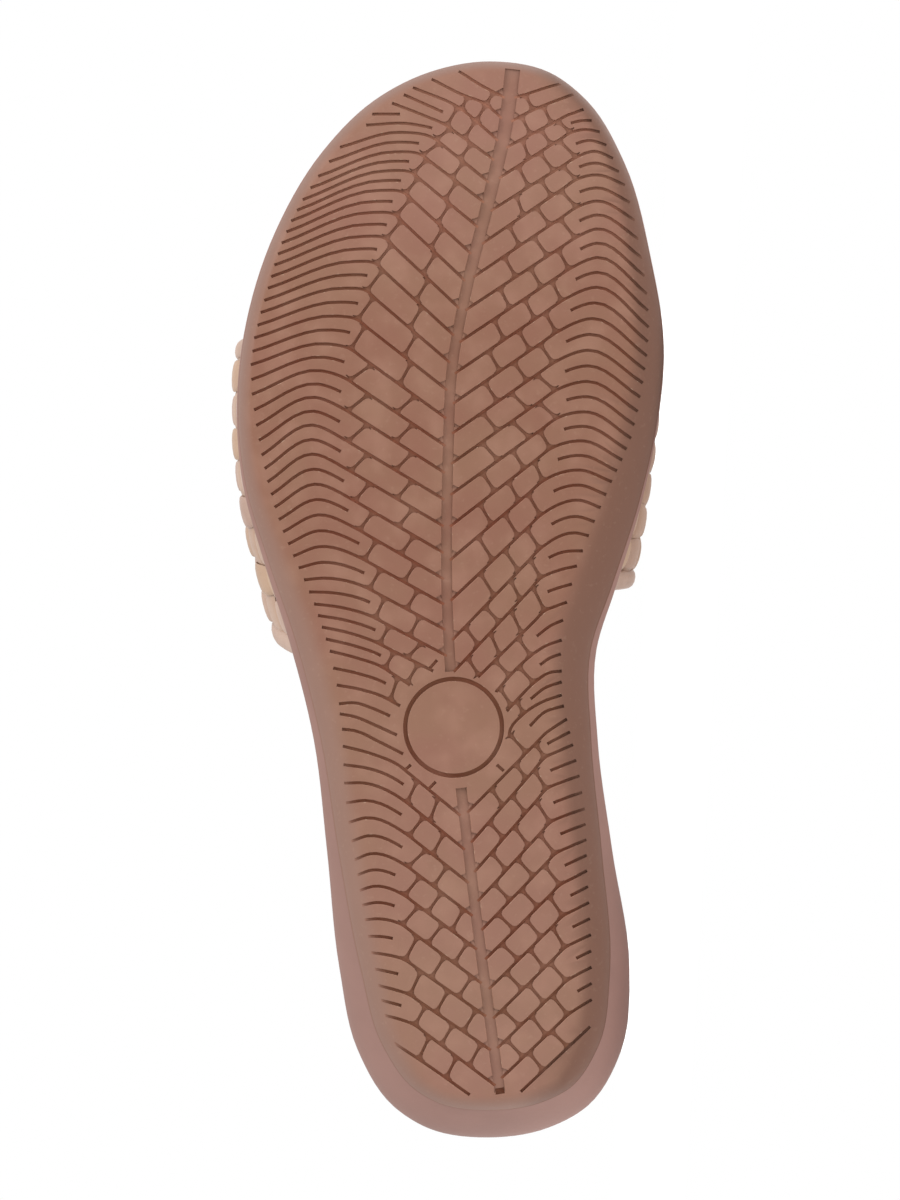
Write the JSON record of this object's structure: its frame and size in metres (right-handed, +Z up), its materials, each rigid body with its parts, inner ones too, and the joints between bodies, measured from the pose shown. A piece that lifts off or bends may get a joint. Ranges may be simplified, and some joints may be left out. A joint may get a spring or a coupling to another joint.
{
  "type": "woven slide sandal",
  "caption": "Slip-on slide sandal, right foot, with a wide woven leather strap, cupped footbed, low wedge and leaf-pattern rubber tread, lying on its inner side.",
  "frame": {"origin": "on the floor, under the middle of the sandal's box as it lies on its inner side", "axes": "+X towards the toe, +Y from the tread towards the strap's crown, so the tread faces -Y, +Z up through the outer side"},
  "size_m": [0.2502, 0.0794, 0.1015],
  "materials": {
    "outsole": "matt brown moulded rubber, fine-grooved",
    "midsole": "matt pinkish brown moulded foam rubber",
    "insole": "smooth tan leather cover over a soft footbed",
    "upper": "beige leather strips, soft sheen"
  },
  "bodies": {
    "root": {"outsole": "outsole", "midsole": "midsole", "insole": "insole", "upper": "upper"}
  },
  "joints": []
}
